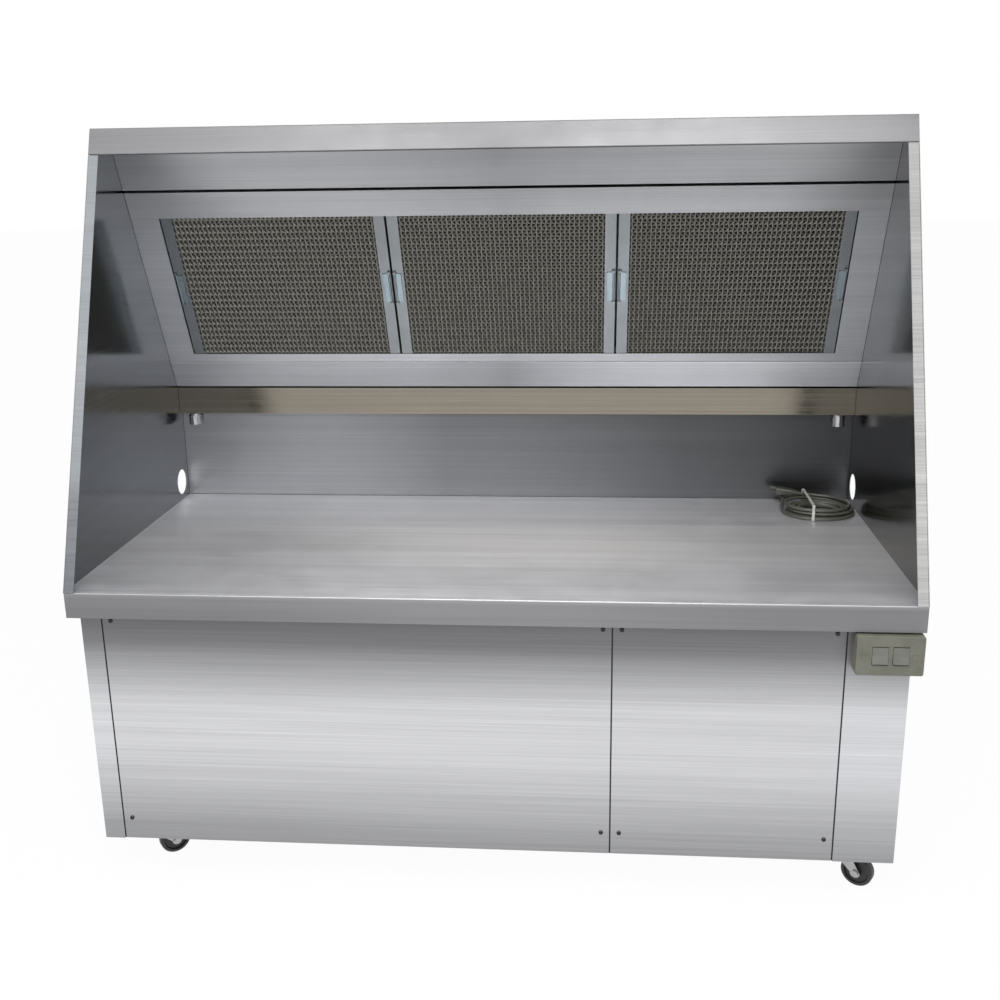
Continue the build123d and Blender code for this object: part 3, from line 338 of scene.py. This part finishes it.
# The grease trough's warm brown tone is a painted reflection of warm surroundings
trough_reflection_steel = brushed_sheet("trough_reflection_steel", (0.29, 0.262, 0.215), 0.14)
frame_steel = brushed_sheet("frame_steel", (0.22, 0.235, 0.24), 0.4, EVEN_GRAIN)
handle_steel = brushed_sheet("handle_steel", (0.23, 0.275, 0.295), 0.3, EVEN_GRAIN)
foil_steel = plated("foil_steel", (0.27, 0.262, 0.235), 0.45)
duct_zinc = zinc_sheet("duct_zinc", (0.6, 0.61, 0.62))
bright_zinc = plated("bright_zinc", (0.44, 0.44, 0.44))
screw_steel = plated("screw_steel", (0.05, 0.05, 0.05), 0.35)
castor_rubber = moulded("castor_rubber", (0.03, 0.03, 0.03), 0.5)
switch_plastic = moulded("switch_plastic", (0.155, 0.157, 0.125), 0.5)
rocker_plastic = moulded("rocker_plastic", (0.16, 0.162, 0.146), 0.4)
sheath = moulded("sheath", (0.075, 0.075, 0.062), 0.42)
plug_plastic = moulded("plug_plastic", (0.05, 0.05, 0.042), 0.4)
tie_plastic = moulded("tie_plastic", (0.5, 0.5, 0.46), 0.4)
filter_wool = moulded("filter_wool", (0.75, 0.75, 0.72), 0.9, 1500, 0.7, 0.0006)
carbon_grain = moulded("carbon_grain", (0.03, 0.03, 0.03), 0.7, 500, 0.6, 0.001)
motor_paint = moulded("motor_paint", (0.05, 0.06, 0.07), 0.4)

FINISHES = {
    "bench_top": bench_steel,
    "base_pan": side_steel,
    "bench_supports": duct_zinc,
    "blower_housing": duct_zinc,
    "blower_impeller": duct_zinc,
    "blower_motor": motor_paint,
    "cabinet_back": panel_steel,
    "cabinet_left_side": side_steel,
    "cabinet_right_side": side_steel,
    "cable_tie": tie_plastic,
    "carbon_filter": carbon_grain,
    "castor_plates": bright_zinc,
    "cord_gland": plug_plastic,
    "drain_plugs": bright_zinc,
    "filter_panel": bulkhead_steel,
    "filter_rack": duct_zinc,
    "fine_filter": filter_wool,
    "front_frame": gap_shadow_steel,
    "grease_trough": trough_reflection_steel,
    "hood_back_wall": back_wall_steel,
    "hood_left_wall": left_wall_steel,
    "hood_right_wall": right_wall_steel,
    "hood_roof": roof_steel,
    "large_access_panel": panel_steel,
    "left_rocker": rocker_plastic,
    "lower_rail": rail_steel,
    "mains_plug": plug_plastic,
    "panel_screws": screw_steel,
    "rear_duct_cover": cover_steel,
    "right_rocker": rocker_plastic,
    "small_access_panel": panel_steel,
    "switch_box": switch_plastic,
    "switch_cover": switch_plastic,
    "upper_bulkhead_panel": bulkhead_steel,
}
FILTERS = ("left", "centre", "right")
for side in FILTERS:
    FINISHES[f"filter_{side}_frame"] = frame_steel
    FINISHES[f"filter_{side}_left_handle"] = handle_steel
    FINISHES[f"filter_{side}_right_handle"] = handle_steel
for corner in ("front_left", "front_right", "rear_left", "rear_right"):
    FINISHES[f"{corner}_castor_fork"] = bright_zinc
    FINISHES[f"{corner}_castor_axle"] = bright_zinc
    FINISHES[f"{corner}_castor_wheel"] = castor_rubber


def dress(node_name, material):
    """Gives a carried-over node its finish."""
    node = nodes[node_name]
    node.data.materials.clear()
    node.data.materials.append(material)


for node_name, material in FINISHES.items():
    dress(node_name, material)


# Mains lead: out of the gland, down to the bench, and round the loose coil to the plug

def coil_turns():
    """The coil's turns from outside in, and back out over them, in metres."""
    points_per_turn = 16
    # (turns so far, half width, half depth, height over the bench) where each stage starts
    stages = [
        (0.0, 0.0810, 0.0690, 0.0042),
        (3.0, 0.0530, 0.0430, 0.0042),
        (3.3, 0.0430, 0.0335, 0.0045),
        (3.8, 0.0430, 0.0335, 0.0130),
        (4.8, 0.0560, 0.0440, 0.0130),
        (6.6, 0.0760, 0.0630, 0.0132),
        (6.9, 0.0770, 0.0650, 0.0218),
        (7.3, 0.0690, 0.0600, 0.0222),
        (7.7, 0.0640, 0.0625, 0.0235),
    ]
    points = []
    steps = int(stages[-1][0] * points_per_turn)
    for step in range(steps + 1):
        turn = step / points_per_turn
        for first, last in zip(stages, stages[1:]):
            if first[0] <= turn <= last[0]:
                share = (turn - first[0]) / (last[0] - first[0])
                half_width, half_depth, height = (
                    a + (b - a) * share for a, b in zip(first[1:], last[1:])
                )
        angle = pi + turn * 2 * pi
        points.append(
            (
                COIL_X + half_width * cos(angle),
                COIL_Y + half_depth * sin(angle),
                BENCH_Z + height,
            )
        )
    return points


def make_lead():
    """One spline for the lead and its coil."""
    route = [
        (GLAND_X, 0.248, 0.635),
        (GLAND_X, 0.234, 0.6345),
        (0.6375, 0.219, 0.631),
        (0.633, 0.204, 0.627),
        (0.6312, 0.188, 0.6248),
    ]
    route += coil_turns()
    route += [
        (0.7130, 0.2325, 0.6445),
        (0.6950, 0.2345, 0.6460),
        (0.6790, 0.2350, 0.6470),
    ]
    curve = bpy.data.curves.new("lead", "CURVE")
    curve.dimensions = "3D"
    spline = curve.splines.new("NURBS")
    spline.points.add(len(route) - 1)
    for point, place in zip(spline.points, route):
        point.co = (*place, 1)
    spline.order_u = 3
    spline.use_endpoint_u = True
    curve.resolution_u = 6
    curve.bevel_depth = LEAD_RADIUS
    curve.bevel_resolution = 3
    curve.use_fill_caps = True
    curve.materials.append(sheath)
    lead = bpy.data.objects.new("lead", curve)
    bpy.context.collection.objects.link(lead)
    return lead


lead = make_lead()
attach(lead, "bench")
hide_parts("power_lead", "lead_coil")


# Geometry Nodes

class Tree:
    """A Geometry Nodes tree with named inputs, and short ways to add nodes and to join them."""

    def __init__(self, name, sizes):
        self.tree = bpy.data.node_groups.new(name, "GeometryNodeTree")
        self.tree.is_modifier = True
        self.sockets = {}
        shape = "NodeSocketGeometry"
        self.tree.interface.new_socket("Geometry", in_out="INPUT", socket_type=shape)
        for label, kind in sizes.items():
            socket = self.tree.interface.new_socket(label, in_out="INPUT", socket_type=kind)
            self.sockets[label] = socket.identifier
        self.tree.interface.new_socket("Geometry", in_out="OUTPUT", socket_type=shape)
        self.entry = self.tree.nodes.new("NodeGroupInput")
        self.exit = self.tree.nodes.new("NodeGroupOutput")

    def node(self, kind, **settings):
        added = self.tree.nodes.new(kind)
        for key, value in settings.items():
            setattr(added, key, value)
        return added

    def feed(self, target, source):
        """Joins an output to an input, or sets the input's value."""
        if isinstance(source, bpy.types.NodeSocket):
            self.tree.links.new(source, target)
        else:
            target.default_value = source

    def size(self, label):
        return self.entry.outputs[label]

    def math(self, operation, first, second=0.0):
        added = self.node("ShaderNodeMath", operation=operation)
        self.feed(added.inputs[0], first)
        self.feed(added.inputs[1], second)
        return added.outputs[0]

    def vector(self, x=0.0, y=0.0):
        added = self.node("ShaderNodeCombineXYZ")
        self.feed(added.inputs["X"], x)
        self.feed(added.inputs["Y"], y)
        return added.outputs["Vector"]

    def finish(self, geometry):
        """Realizes what was instanced, gives it its material and ends the tree."""
        realized = self.node("GeometryNodeRealizeInstances")
        painted = self.node("GeometryNodeSetMaterial")
        self.feed(realized.inputs["Geometry"], geometry)
        self.feed(painted.inputs["Geometry"], realized.outputs["Geometry"])
        self.feed(painted.inputs["Material"], self.size("Material"))
        self.feed(self.exit.inputs["Geometry"], painted.outputs["Geometry"])


def grow(name, tree, values, place):
    """Runs a tree with its sizes, and keeps the result as a plain mesh at its place."""
    seed_mesh = bpy.data.meshes.new(name)
    seed = bpy.data.objects.new(name, seed_mesh)
    bpy.context.collection.objects.link(seed)
    modifier = seed.modifiers.new(name, "NODES")
    modifier.node_group = tree.tree
    for label, value in values.items():
        modifier[tree.sockets[label]] = value
    depsgraph = bpy.context.evaluated_depsgraph_get()
    mesh = bpy.data.meshes.new_from_object(seed.evaluated_get(depsgraph))
    seed.modifiers.remove(modifier)
    mesh.transform(place)
    seed.data = mesh
    return seed


def honeycomb_tree():
    """Flat foils at an even pitch, with one square-folded foil between each two."""
    tree = Tree(
        "honeycomb",
        {
            "Height": "NodeSocketFloat",
            "Depth": "NodeSocketFloat",
            "Pitch": "NodeSocketFloat",
            "Foils": "NodeSocketInt",
            "Folds": "NodeSocketInt",
            "Slant": "NodeSocketFloat",
            "Flat Thickness": "NodeSocketFloat",
            "Foil Thickness": "NodeSocketFloat",
            "Material": "NodeSocketMaterial",
        },
    )
    depth = tree.size("Depth")

    def strip(points, thickness, swing):
        """A foil on edge along Y, which crosses from side to side at every second point."""
        last = tree.math("SUBTRACT", points, 1)
        step = tree.math("DIVIDE", tree.size("Height"), last)
        line = tree.node("GeometryNodeMeshLine", mode="OFFSET")
        tree.feed(line.inputs["Count"], points)
        tree.feed(line.inputs["Offset"], tree.vector(y=step))
        index = tree.node("GeometryNodeInputIndex").outputs["Index"]
        in_four = tree.math("MODULO", index, 4.0)
        from_middle = tree.math("ABSOLUTE", tree.math("SUBTRACT", in_four, 1.5))
        side = tree.math("SUBTRACT", 2.0, tree.math("MULTIPLY", from_middle, 2.0))
        odd = tree.math("MODULO", index, 2.0)
        back = tree.math("SUBTRACT", tree.size("Slant"), step)
        folded = tree.math("GREATER_THAN", swing, 0.0)
        rise = tree.math("MULTIPLY", tree.math("MULTIPLY", odd, back), folded)
        moved = tree.node("GeometryNodeSetPosition")
        tree.feed(moved.inputs["Geometry"], line.outputs["Mesh"])
        across = tree.math("MULTIPLY", side, swing)
        tree.feed(moved.inputs["Offset"], tree.vector(x=across, y=rise))
        curve = tree.node("GeometryNodeMeshToCurve")
        tree.feed(curve.inputs["Mesh"], moved.outputs["Geometry"])
        normal = tree.node("GeometryNodeSetCurveNormal", mode="Z_UP")
        tree.feed(normal.inputs["Curve"], curve.outputs["Curve"])
        section = tree.node("GeometryNodeCurvePrimitiveQuadrilateral")
        tree.feed(section.inputs["Width"], thickness)
        tree.feed(section.inputs["Height"], depth)
        swept = tree.node("GeometryNodeCurveToMesh")
        tree.feed(swept.inputs["Curve"], normal.outputs["Curve"])
        tree.feed(swept.inputs["Profile Curve"], section.outputs["Curve"])
        tree.feed(swept.inputs["Fill Caps"], True)
        return swept.outputs["Mesh"]

    def row(foil, count):
        """The foil repeated across the width, about the middle."""
        span = tree.math("MULTIPLY", tree.size("Pitch"), tree.math("SUBTRACT", count, 1))
        start = tree.math("MULTIPLY", span, -0.5)
        places = tree.node("GeometryNodeMeshLine", mode="OFFSET")
        tree.feed(places.inputs["Count"], count)
        tree.feed(places.inputs["Start Location"], tree.vector(x=start))
        tree.feed(places.inputs["Offset"], tree.vector(x=tree.size("Pitch")))
        copies = tree.node("GeometryNodeInstanceOnPoints")
        tree.feed(copies.inputs["Points"], places.outputs["Mesh"])
        tree.feed(copies.inputs["Instance"], foil)
        return copies.outputs["Instances"]

    half_pitch = tree.math("MULTIPLY", tree.size("Pitch"), 0.5)
    both_foils = tree.math("ADD", tree.size("Flat Thickness"), tree.size("Foil Thickness"))
    swing = tree.math("SUBTRACT", half_pitch, tree.math("MULTIPLY", both_foils, 0.5))
    flats = row(strip(2, tree.size("Flat Thickness"), 0.0), tree.size("Foils"))
    waves = row(
        strip(tree.size("Folds"), tree.size("Foil Thickness"), swing),
        tree.math("SUBTRACT", tree.size("Foils"), 1),
    )
    joined = tree.node("GeometryNodeJoinGeometry")
    tree.feed(joined.inputs["Geometry"], flats)
    tree.feed(joined.inputs["Geometry"], waves)
    tree.finish(joined.outputs["Geometry"])
    return tree


def slope_place(x, rise, inset):
    """The frame on the bulkhead: X to the right, Y up its slope, Z out of its face."""
    slope_up = Vector((0, -cos(SLOPE_ANGLE), sin(SLOPE_ANGLE)))
    slope_out = Vector((0, -sin(SLOPE_ANGLE), -cos(SLOPE_ANGLE)))
    axes = Matrix((Vector((1, 0, 0)), slope_up, slope_out)).transposed()
    place = SLOPE_FOOT + slope_up * rise - slope_out * inset + Vector((x, 0, 0))
    return Matrix.Translation(place) @ axes.to_4x4()


honeycomb = honeycomb_tree()
FOIL_PITCH = 0.0100
FOIL_DEPTH = 0.034
FOLD_STEP = 0.0038
FOLD_SLANT = 0.0022
FLAT_THICKNESS = 0.0022
FOIL_THICKNESS = 0.0011
FOIL_END_ROOM = 0.0005
FOIL_SETBACK = 0.0016
foil_height = FILTER_HEIGHT - 2 * FOIL_ROOM - 2 * FOIL_END_ROOM
for index, side in enumerate(FILTERS):
    comb = grow(
        f"honeycomb_{side}",
        honeycomb,
        {
            "Height": foil_height,
            "Depth": FOIL_DEPTH,
            "Pitch": FOIL_PITCH,
            "Foils": int((FILTER_WIDTH - 2 * FOIL_ROOM) // FOIL_PITCH),
            "Folds": int(foil_height / FOLD_STEP),
            "Slant": FOLD_SLANT,
            "Flat Thickness": FLAT_THICKNESS,
            "Foil Thickness": FOIL_THICKNESS,
            "Material": foil_steel,
        },
        slope_place(
            (index - 1) * FILTER_PITCH,
            FILTER_FOOT + FOIL_ROOM + FOIL_END_ROOM,
            FILTER_FACE + FOIL_SETBACK + FOIL_DEPTH / 2,
        ),
    )
    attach(comb, "bench")
    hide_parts(f"filter_{side}_honeycomb")


# Stage: a pale floor and soft light

def seen_directly(tree):
    """1 for a ray from the camera, off gloss or through glass, and 0 for any other."""
    rays = tree.nodes.new("ShaderNodeLightPath")
    seen = rays.outputs["Is Camera Ray"]
    for kind in ("Is Glossy Ray", "Is Transmission Ray"):
        either = tree.nodes.new("ShaderNodeMath")
        either.operation = "MAXIMUM"
        tree.links.new(seen, either.inputs[0])
        tree.links.new(rays.outputs[kind], either.inputs[1])
        seen = either.outputs["Value"]
    return seen


def make_floor():
    """A wide pale floor that keeps the shadows, and looks white beyond them."""
    finish = Finish("floor")
    finish.shader.inputs["Base Color"].default_value = (0.92, 0.92, 0.92, 1)
    finish.shader.inputs["Roughness"].default_value = 0.9
    share = finish.node("ShaderNodeMath", operation="MULTIPLY")
    finish.join(seen_directly(finish.tree), share.inputs[0])
    share.inputs[1].default_value = 0.96
    white = finish.node("ShaderNodeEmission")
    blended = finish.node("ShaderNodeMixShader")
    finish.join(share.outputs["Value"], blended.inputs["Fac"])
    finish.join(finish.shader.outputs["BSDF"], blended.inputs[1])
    finish.join(white.outputs["Emission"], blended.inputs[2])
    surface = finish.tree.nodes["Material Output"].inputs["Surface"]
    finish.join(blended.outputs["Shader"], surface)
    reach = 30
    mesh = bpy.data.meshes.new("floor")
    corners = [(-reach, -reach, 0), (reach, -reach, 0), (reach, reach, 0), (-reach, reach, 0)]
    mesh.from_pydata(corners, [], [(0, 1, 2, 3)])
    mesh.materials.append(finish.material)
    floor = bpy.data.objects.new("floor", mesh)
    bpy.context.collection.objects.link(floor)


def make_world():
    """A white surround for the camera and for reflections, and soft light on everything else."""
    world = bpy.data.worlds.new("studio")
    world.use_nodes = True
    tree = world.node_tree
    background = tree.nodes["Background"]
    background.inputs["Color"].default_value = (1, 1, 1, 1)
    level = tree.nodes.new("ShaderNodeMapRange")
    level.inputs["To Min"].default_value = 0.55
    level.inputs["To Max"].default_value = 1.0
    tree.links.new(seen_directly(tree), level.inputs["Value"])
    tree.links.new(level.outputs["Result"], background.inputs["Strength"])
    bpy.context.scene.world = world


def soft_light(name, place, target, size, power):
    """A square soft box at a place, facing a target."""
    data = bpy.data.lights.new(name, "AREA")
    data.size = size
    data.energy = power
    lamp = bpy.data.objects.new(name, data)
    lamp.location = place
    lamp.rotation_euler = (Vector(target) - Vector(place)).to_track_quat("-Z", "Y").to_euler()
    bpy.context.collection.objects.link(lamp)


make_floor()
make_world()
soft_light("key_light", (-1.8, -3.2, 3.4), (0, 0, 0.7), 2.2, 12)
soft_light("fill_light", (2.6, -2.6, 1.8), (0, 0, 0.7), 1.8, 8)
soft_light("bench_light", (0.0, -1.5, 2.4), (-0.05, 0, 0.62), 1.4, 44)

bpy.context.scene.view_settings.view_transform = "Standard"
